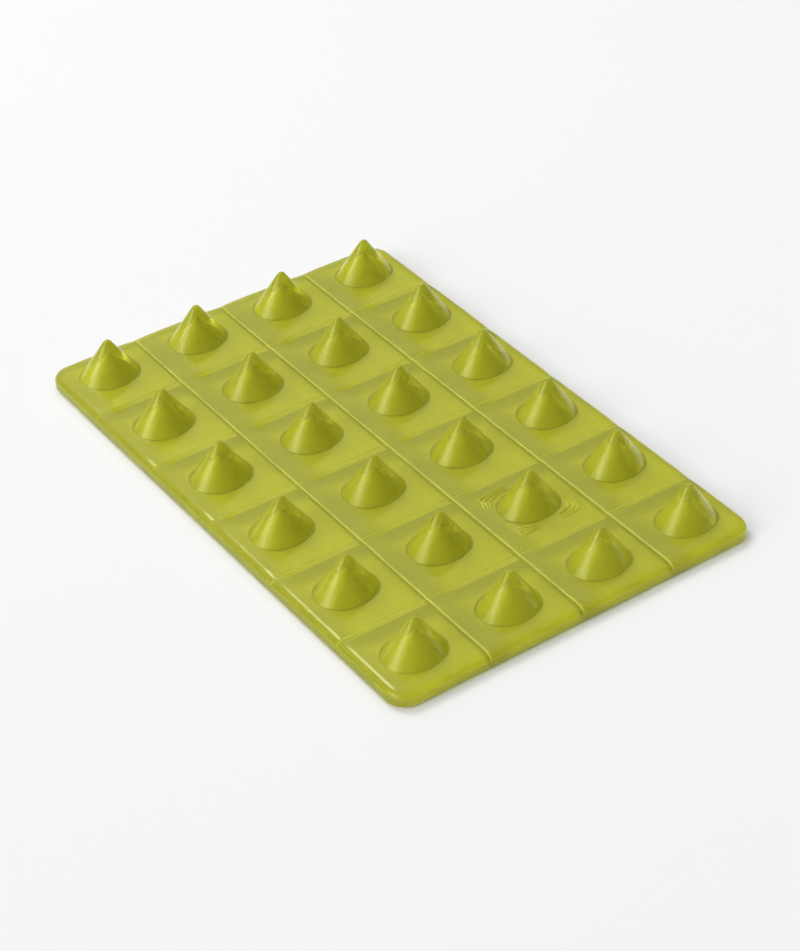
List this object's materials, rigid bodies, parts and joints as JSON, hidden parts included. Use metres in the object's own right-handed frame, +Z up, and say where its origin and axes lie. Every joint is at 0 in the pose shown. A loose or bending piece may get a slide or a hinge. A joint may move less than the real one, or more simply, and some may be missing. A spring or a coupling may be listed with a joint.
{
  "type": "snowboard stomp pad",
  "caption": "Flat rectangular grip pad of soft clear rubber with hollow conical studs on grooved square tiles, over an adhesive sheet and a peel-off liner.",
  "frame": {"origin": "centre of the release liner's underside, which is the face that the pad lies on", "axes": "+X across the pad, +Y along its length, +Z up through the studs"},
  "size_m": [0.0842, 0.1254, 0.0121],
  "materials": {
    "pad_rubber": "translucent olive-lime moulded rubber, satin, tinted through",
    "adhesive_film": "milky clear double-sided adhesive film",
    "liner_paper": "white silicone-coated release paper"
  },
  "bodies": {
    "liner": {"release_liner": "liner_paper"},
    "pad": {"base_mat": "pad_rubber", "adhesive_sheet": "adhesive_film", "stud_r1_c1": "pad_rubber", "stud_r1_c2": "pad_rubber", "stud_r1_c3": "pad_rubber", "stud_r1_c4": "pad_rubber", "stud_r2_c1": "pad_rubber", "stud_r2_c2": "pad_rubber", "stud_r2_c3": "pad_rubber", "stud_r2_c4": "pad_rubber", "stud_r3_c1": "pad_rubber", "stud_r3_c2": "pad_rubber", "stud_r3_c3": "pad_rubber", "stud_r3_c4": "pad_rubber", "stud_r4_c1": "pad_rubber", "stud_r4_c2": "pad_rubber", "stud_r4_c3": "pad_rubber", "stud_r4_c4": "pad_rubber", "stud_r5_c1": "pad_rubber", "stud_r5_c2": "pad_rubber", "stud_r5_c3": "pad_rubber", "stud_r5_c4": "pad_rubber", "stud_r6_c1": "pad_rubber", "stud_r6_c2": "pad_rubber", "stud_r6_c3": "pad_rubber", "stud_r6_c4": "pad_rubber"}
  },
  "joints": [
    {"name": "peel_off", "type": "slide", "parent": "liner", "child": "pad", "axis": [0, 0, 1], "range_m": [0, 0.04]}
  ]
}
